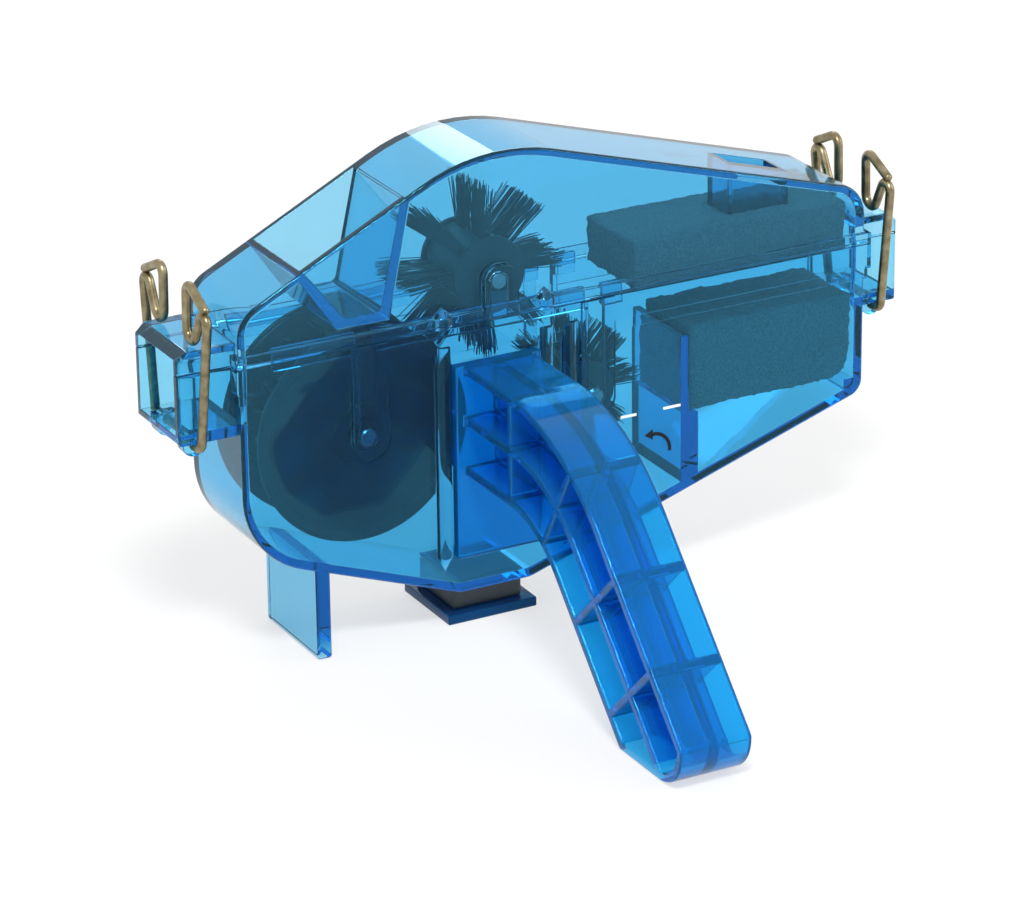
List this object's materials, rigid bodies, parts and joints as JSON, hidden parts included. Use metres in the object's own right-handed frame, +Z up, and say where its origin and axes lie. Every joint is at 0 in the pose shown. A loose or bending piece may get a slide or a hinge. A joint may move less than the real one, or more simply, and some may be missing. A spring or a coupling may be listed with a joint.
{
  "type": "bicycle chain cleaner",
  "caption": "Clear blue hand-held chain cleaner box with a bent ribbed handle, turning brushes, sponges, a magnet tray and sprung wire clips that hold its cover shut.",
  "frame": {"origin": "middle of the magnet tray's underside, on the surface the cleaner stands on", "axes": "+X along the chain towards the sponge end, -Y towards the handle, +Z up"},
  "size_m": [0.1724, 0.1215, 0.1053],
  "materials": {
    "clear_shell": "clear tinted, polished",
    "clear_cover": "clear tinted, polished",
    "handle_blue": "clear tinted, polished",
    "tray_blue": "polished",
    "magnet": "matt sintered",
    "sponge": "open cell foam",
    "brush_plastic": "satin",
    "bristle": "matt",
    "axle_steel": "satin",
    "clip_wire": "yellow zinc plated"
  },
  "bodies": {
    "body": {"lower_body": "clear_shell", "cover": "clear_cover", "handle": "handle_blue", "magnet_tray": "tray_blue", "magnet": "magnet", "sponge_lower": "sponge", "sponge_upper": "sponge"},
    "side_brush": {"side_axle": "axle_steel", "side_hub": "brush_plastic", "side_disc_near": "brush_plastic", "side_disc_far": "brush_plastic", "side_bristles_near": "bristle", "side_bristles_far": "bristle"},
    "upper_brush": {"upper_axle": "axle_steel", "upper_core": "brush_plastic", "upper_end_near": "brush_plastic", "upper_end_far": "brush_plastic", "upper_bristles": "bristle"},
    "lower_brush": {"lower_axle": "axle_steel", "lower_core": "brush_plastic", "lower_end_near": "brush_plastic", "lower_end_far": "brush_plastic", "lower_bristles": "bristle"},
    "left_bail": {"clip_left": "clip_wire"},
    "right_bail": {"clip_right": "clip_wire"}
  },
  "joints": [
    {"name": "side_spin", "type": "hinge", "parent": "body", "child": "side_brush", "pos_m": [-0.0297, 0, 0.048], "axis": [0, 1, 0], "continuous": true},
    {"name": "upper_spin", "type": "hinge", "parent": "body", "child": "upper_brush", "pos_m": [0.0013, 0, 0.077], "axis": [0, 1, 0], "continuous": true},
    {"name": "lower_spin", "type": "hinge", "parent": "body", "child": "lower_brush", "pos_m": [0.0243, 0, 0.0465], "axis": [0, 1, 0], "continuous": true},
    {"name": "left_clip_swing", "type": "hinge", "parent": "body", "child": "left_bail", "pos_m": [-0.0673, 0, 0.0525], "axis": [0, -1, 0], "range_deg": [0, 165]},
    {"name": "right_clip_swing", "type": "hinge", "parent": "body", "child": "right_bail", "pos_m": [0.0961, 0, 0.0525], "axis": [0, 1, 0], "range_deg": [0, 165]}
  ]
}
